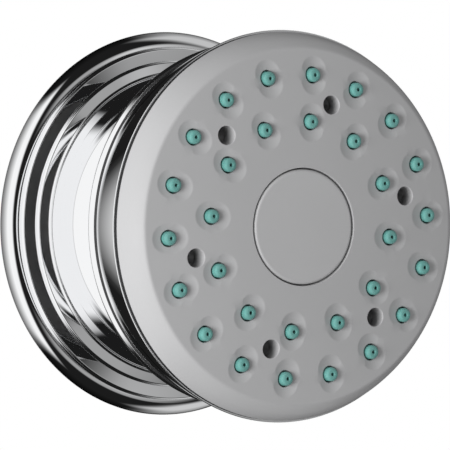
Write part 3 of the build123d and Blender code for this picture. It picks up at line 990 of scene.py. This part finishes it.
    def rim(self) -> Array:
        """Section from the dome's edge over the curved rim to the recess behind.

        The rim is an arc that leaves its back edge with a small lean and meets the dome at an
        angle, which a small round blends. An arc over a chord c that turns by 2 t has the radius
        |c| / (2 sin t).

        Returns:
            Section points.
        """
        meet_r = self.outer_r - self.rim_width
        rise = float(self.dome(meet_r)) - self.start
        lean = math.radians(self.rim_lean)
        half_turn = math.atan2(self.rim_width, rise) - lean
        arc_r = math.hypot(self.rim_width, rise) / (2 * math.sin(half_turn))
        turn = np.linspace(lean + 2 * half_turn, lean, self.rim_steps)[1:-1]
        arc = zip(
            self.outer_r + arc_r * (np.cos(turn) - math.cos(lean)),
            self.start + arc_r * (np.sin(turn) - math.sin(lean)),
        )
        return rounded([
            (self.disc_r(), self.depth_at(self.disc_r())),
            (meet_r, float(self.dome(meet_r)), self.rim_blend),
            *arc,
            (self.outer_r, self.start, self.edge_round),
            (self.skirt_r, self.start),
            (self.skirt_r, self.skirt_start),
            (self.recess_r, self.skirt_start),
            (self.recess_r, self.back),
        ], closed=False)

    def build(self) -> None:
        """Makes the front, the walls of the holes, the rim and the back, and welds them."""
        skin = Skin()
        holes, pocket = self.holes(), self.pocket_edge
        screw = Circle(self.screw_r, self.hole_points)
        sleeves = circles(self.air_ring.points(), self.sleeve_r, self.hole_points)
        flat, faces = pierced(Circle(self.disc_r()), [*holes, pocket], self.free_points())
        skin.plate(flat, faces, self.depth(flat))
        bored = holes[:len(self.nozzles())]
        skin.plate(*pierced(Circle(self.recess_r), [*bored, *sleeves, screw]), self.back)
        drop = np.linspace(0, 1, self.wall_rows)[:, None]
        for hole in holes:
            back = self.back if hole in bored else self.sleeve_back
            ring = hole.points()
            depth = self.depth(ring)[None] * (1 - drop) + back * drop
            wide = np.repeat(ring[None], self.wall_rows, axis=0)
            skin.grid(np.stack([wide[..., 0], -depth, wide[..., 1]], axis=-1))
        end = np.array([
            (self.air_r, self.sleeve_back),
            (self.sleeve_r, self.sleeve_back),
            (self.sleeve_r, self.back),
        ])
        for sleeve in sleeves:
            skin.turned(end, False, sleeve.count, sleeve.x, sleeve.z)
        skin.turned(self.rim(), closed=False)
        floor = self.crown - self.pocket
        skin.wall(pocket, self.depth_at(pocket.radius), floor)
        skin.plate(*pierced(pocket, [screw]), floor)
        skin.wall(screw, floor, self.back)
        skin.finish(self.palette, "face", Body.HEAD, "grey_face", "spray_face")


@dataclass(frozen=True)
class NozzleMat(Piece):
    """Silicone sheet behind the face, with a domed nozzle standing in every dish."""

    back: float = 61.7
    front: float = 63.2
    outer_r: float = 46.3
    air_r: float = 3.35
    nozzle_r: float = 1.79
    tip_r: float = 0.85
    shoulder: float = 0.65
    dome: float = 0.95
    bore_r: float = 1.1
    orifice_r: float = 0.42
    orifice_length: float = 1.2
    lip: float = 0.22
    points: int = 48
    dome_steps: int = 14

    def nozzle(self, reach: float) -> Array:
        """Section of a nozzle, from the sheet's front over its tip to the back of its bore.

        From shoulder to tip it follows a quarter of an ellipse.

        Args:
            reach: radius of the ring that the nozzle is on.

        Returns:
            Section points.
        """
        face = SprayFace(self.palette)
        shoulder = float(face.dome(reach)) - face.dish_depth + self.shoulder
        tip = shoulder + self.dome
        turn = np.linspace(0, math.pi / 2, self.dome_steps)
        dome_r = self.tip_r + (self.nozzle_r - self.tip_r) * np.cos(turn)
        dome_d = shoulder + self.dome * np.sin(turn)
        shaft = np.array([(self.nozzle_r, self.front), (self.nozzle_r, shoulder - SUPPORT)])
        inside = rounded([
            (self.tip_r, tip),
            (self.orifice_r, tip, self.lip),
            (self.orifice_r, tip - self.orifice_length),
            (self.bore_r, tip - self.orifice_length),
            (self.bore_r, self.back),
        ], closed=False)
        return np.concatenate([shaft, np.stack([dome_r, dome_d], axis=1), inside[1:]])

    def build(self) -> None:
        """Makes the sheet's two sides, its edges and every nozzle."""
        face = SprayFace(self.palette)
        places = face.nozzles()
        edge = Circle(self.outer_r)
        screw = Circle(face.screw_r, self.points)
        open_holes = [*circles(face.air_ring.points(), self.air_r, self.points), screw]
        skin = Skin()
        for depth, radius in ((self.front, self.nozzle_r), (self.back, self.bore_r)):
            bosses = circles(places, radius, self.points)
            skin.plate(*pierced(edge, bosses + open_holes), depth)
        for hole in (edge, *open_holes):
            skin.wall(hole, self.front, self.back)
        for x, z in places.tolist():
            skin.turned(self.nozzle(math.hypot(x, z)), False, self.points, x, z)
        skin.finish(self.palette, "nozzles", Body.HEAD, "teal_silicone", "nozzle_mat")


@dataclass(frozen=True)
class CentreCap(Piece):
    """Flush round cap that carries the face's dome on, hollow behind."""

    radius: float = 14.68
    skin: float = 1.4
    skirt: float = 1.6
    edge_round: float = 0.8
    dome_rows: int = 24

    def build(self) -> None:
        """Turns the piece's section."""
        face = SprayFace(self.palette)
        reach = np.linspace(0, self.radius - 2 * self.edge_round, self.dome_rows)
        edge = float(face.dome(self.radius))
        inner_r, floor = self.radius - self.skirt, face.crown - face.pocket
        skin = Skin()
        skin.turned(rounded([
            *zip(reach, face.dome(reach)),
            (self.radius, edge, self.edge_round),
            (self.radius, floor),
            (inner_r, floor),
            (inner_r, edge - self.skin),
            (0, edge - self.skin),
        ], closed=False), closed=False)
        skin.finish(self.palette, "cap", Body.HEAD, "satin_cap", "centre_cap")


@dataclass(frozen=True)
class FaceSeal(Piece):
    """Thin black ring in the gap between the shell and the face."""

    inner_r: float = 47.45
    outer_r: float = 49.65
    start: float = 57.4
    end: float = 58.0
    edge_round: float = 0.12

    def build(self) -> None:
        """Turns the piece's section."""
        skin = Skin()
        skin.turned(rounded([
            (self.inner_r, self.start, self.edge_round),
            (self.outer_r, self.start, self.edge_round),
            (self.outer_r, self.end, self.edge_round),
            (self.inner_r, self.end, self.edge_round),
        ]))
        skin.finish(self.palette, "face_ring", Body.HEAD, "black_rubber", "face_seal")


@dataclass(frozen=True)
class Camera:
    """The photograph's camera, fitted to its circles: a long lens from the left, near level."""

    azimuth: float = -31.563
    elevation: float = 0.872
    distance: float = 2165.5
    shift_right: float = -18.78
    shift_up: float = 0.437
    axis_depth: float = 65.5
    lens: float = 679.7
    sensor: float = 36.0
    far: float = 1e5

    def build(self) -> None:
        """Places the camera and makes it the scene's."""
        turn, rise = math.radians(self.azimuth), math.radians(self.elevation)
        level = math.cos(rise)
        back = Vector((math.sin(turn) * level, -math.cos(turn) * level, math.sin(rise)))
        right = Vector((math.cos(turn), math.sin(turn), 0))
        up = back.cross(right)
        aim = Vector((0, -self.axis_depth, 0)) + right * self.shift_right + up * self.shift_up
        data = bpy.data.cameras.new("camera")
        data.lens, data.sensor_width, data.clip_end = self.lens, self.sensor, self.far * MM
        camera = link("camera", data)
        axes = Matrix((right, up, back)).transposed().to_4x4()
        camera.matrix_world = Matrix.Translation((aim + back * self.distance) * MM) @ axes
        bpy.context.scene.camera = camera


def window(angle: Array, stops: Stops) -> Array:
    """Rises from 0 to 1 between two stops and falls back between two more, by 3 t^2 - 2 t^3."""
    ramps = [np.clip((angle - a) / (b - a), 0, 1) for a, b in (stops[:2], stops[:1:-1])]
    return math.prod(t**2 * (3 - 2 * t) for t in ramps)


@dataclass(frozen=True)
class Panel:
    """A soft-edged bright part of the tent.

    Attributes:
        azimuth: where it starts, is full, stops being full and ends, from the front to the left.
        elevation: the same four stops upwards, from the horizon.
        tone: its brightness.
    """

    azimuth: Stops
    elevation: Stops
    tone: float

    def light(self, azimuth: Array, elevation: Array) -> Array:
        """Brightness by direction: the tone times a window in azimuth and one in elevation."""
        around = (azimuth - sum(self.azimuth) / 4 + 180) % 360 - 180 + sum(self.azimuth) / 4
        return self.tone * window(around, self.azimuth) * window(elevation, self.elevation)


@dataclass(frozen=True)
class Tent:
    """Dark globe of cloth with bright panels round the object, seen only in reflections."""

    panels: tuple[Panel, ...] = (
        Panel((20, 30, 166, 178), (-62, -46, 48, 62), 0.97),
        Panel((230, 262, 334, 344), (-26, -18, 24, 34), 0.3),
        Panel((315, 335, 352, 372), (17, 23, 30, 36), 0.35),
        Panel((315, 335, 352, 372), (-36, -30, -23, -17), 0.35),
        Panel((225, 245, 302, 324), (22, 40, 56, 76), 0.55),
        Panel((225, 245, 302, 324), (-76, -58, -46, -34), 0.6),
    )
    radius: float = 1000.0
    shade: float = 0.012
    top: float = 89.9
    columns: int = 240
    rows: int = 121

    def build(self) -> None:
        """Makes the globe, with its brightness as a mesh attribute.

        At azimuth a and elevation e, it lies at R (-sin a cos e, -cos a cos e, sin e).
        """
        azimuth = np.linspace(0, 360, self.columns, endpoint=False)[None]
        elevation = np.linspace(-self.top, self.top, self.rows)[:, None]
        turn, rise = np.radians(azimuth), np.radians(elevation)
        up = np.broadcast_to(np.sin(rise), (self.rows, self.columns))
        ways = [-np.sin(turn) * np.cos(rise), -np.cos(turn) * np.cos(rise), up]
        cloth = Skin()
        cloth.grid(self.radius * np.stack(ways, axis=-1))
        mesh = cloth.mesh("tent")
        tone = self.shade + sum(panel.light(azimuth, elevation) for panel in self.panels)
        kept = mesh.attributes.new("tone", "FLOAT", "POINT")
        kept.data.foreach_set("value", tone.ravel().astype(np.float32))
        paint, graph = new_material("tent")
        graph.tree.nodes.remove(graph.tree.nodes["Principled BSDF"])
        read = graph.add("Attribute")
        read.attribute_name = "tone"
        glow = graph.add("Emission", read.outputs["Fac"], strength=1.0)
        graph.feed(graph.tree.nodes["Material Output"].inputs[0], glow.outputs[0])
        mesh.materials.append(paint)
        tent = link("tent", mesh)
        tent.visible_camera = tent.visible_diffuse = tent.visible_shadow = False
        tent.visible_transmission = tent.visible_volume_scatter = False


@dataclass(frozen=True)
class Studio:
    """White studio: a soft key from the left, a pale floor and a tent that the metal mirrors."""

    floor_drop: float = 1300.0
    floor_size: float = 6000.0
    floor_tones: tuple[float, float] = (0.86, 0.9)
    floor_scale: float = 6.0
    floor_rough: float = 0.9
    key_place: Triple = (-1200.0, -520.0, -40.0)
    key_aim: Triple = (0.0, -40.0, 0.0)
    key_size: float = 700.0
    key_watts: float = 23.0
    fill: float = 0.54

    def build(self) -> None:
        """Makes the floor, the world, the lamp and the tent."""
        bpy.context.scene.view_settings.view_transform = "Standard"
        self._floor()
        self._world()
        self._key()
        Tent().build()

    def _floor(self) -> None:
        """Pale floor well below the object."""
        half = self.floor_size / 2
        corners = [(-half, -half), (half, -half), (half, half), (-half, half)]
        mesh = bpy.data.meshes.new("floor")
        points = [(x * MM, y * MM, -self.floor_drop * MM) for x, y in corners]
        mesh.from_pydata(points, [], [(0, 1, 2, 3)])
        floor = link("floor", mesh)
        pale, graph = new_material("floor")
        noise = graph.add("TexNoise", scale=self.floor_scale, vector=graph.place())
        low, high = self.floor_tones
        tone = graph.add("MapRange", noise.outputs[0], to_min=low, to_max=high)
        shader = graph.tree.nodes["Principled BSDF"]
        graph.feed(shader.inputs["Base Color"], tone.outputs[0])
        graph.feed(shader.inputs["Roughness"], self.floor_rough)
        mesh.materials.append(pale)

    def _world(self) -> None:
        """White where the camera, metal and glass see it, and a plain soft light elsewhere."""
        world = bpy.data.worlds.new("studio")
        bpy.context.scene.world = world
        world.use_nodes = True
        graph = Graph(world.node_tree)
        light = graph.add("LightPath").outputs
        seen: object = 0.0
        for ray in ("Camera", "Glossy", "Transmission"):
            seen = graph.add("Math", seen, light[f"Is {ray} Ray"], operation="MAXIMUM").outputs[0]
        strength = graph.add("MapRange", seen, to_min=self.fill, to_max=1.0)
        background = world.node_tree.nodes["Background"]
        graph.feed(background.inputs["Color"], WHITE)
        graph.feed(background.inputs["Strength"], strength.outputs[0])

    def _key(self) -> None:
        """Square area lamp that faces the object and doesn't show in reflections."""
        data = bpy.data.lights.new("key", "AREA")
        data.energy, data.size = self.key_watts, self.key_size * MM
        spot = Vector(self.key_place) * MM
        ahead = Vector(self.key_aim) * MM - spot
        lamp = link("key", data)
        turn = ahead.to_track_quat("-Z", "Y").to_matrix().to_4x4()
        lamp.matrix_world = Matrix.Translation(spot) @ turn
        lamp.visible_glossy = False


def main() -> None:
    """Dresses the nodes, builds the fine pieces and sets the stage."""
    logging.basicConfig(level=logging.INFO, format="%(message)s")
    palette = Palette()
    palette.dress_nodes()
    for kind in (Rosette, Neck, Inlet, HeadShell, FaceSeal, SprayFace, NozzleMat, CentreCap):
        kind(palette).build()
    Camera().build()
    Studio().build()


if __name__ == "__main__":
    main()
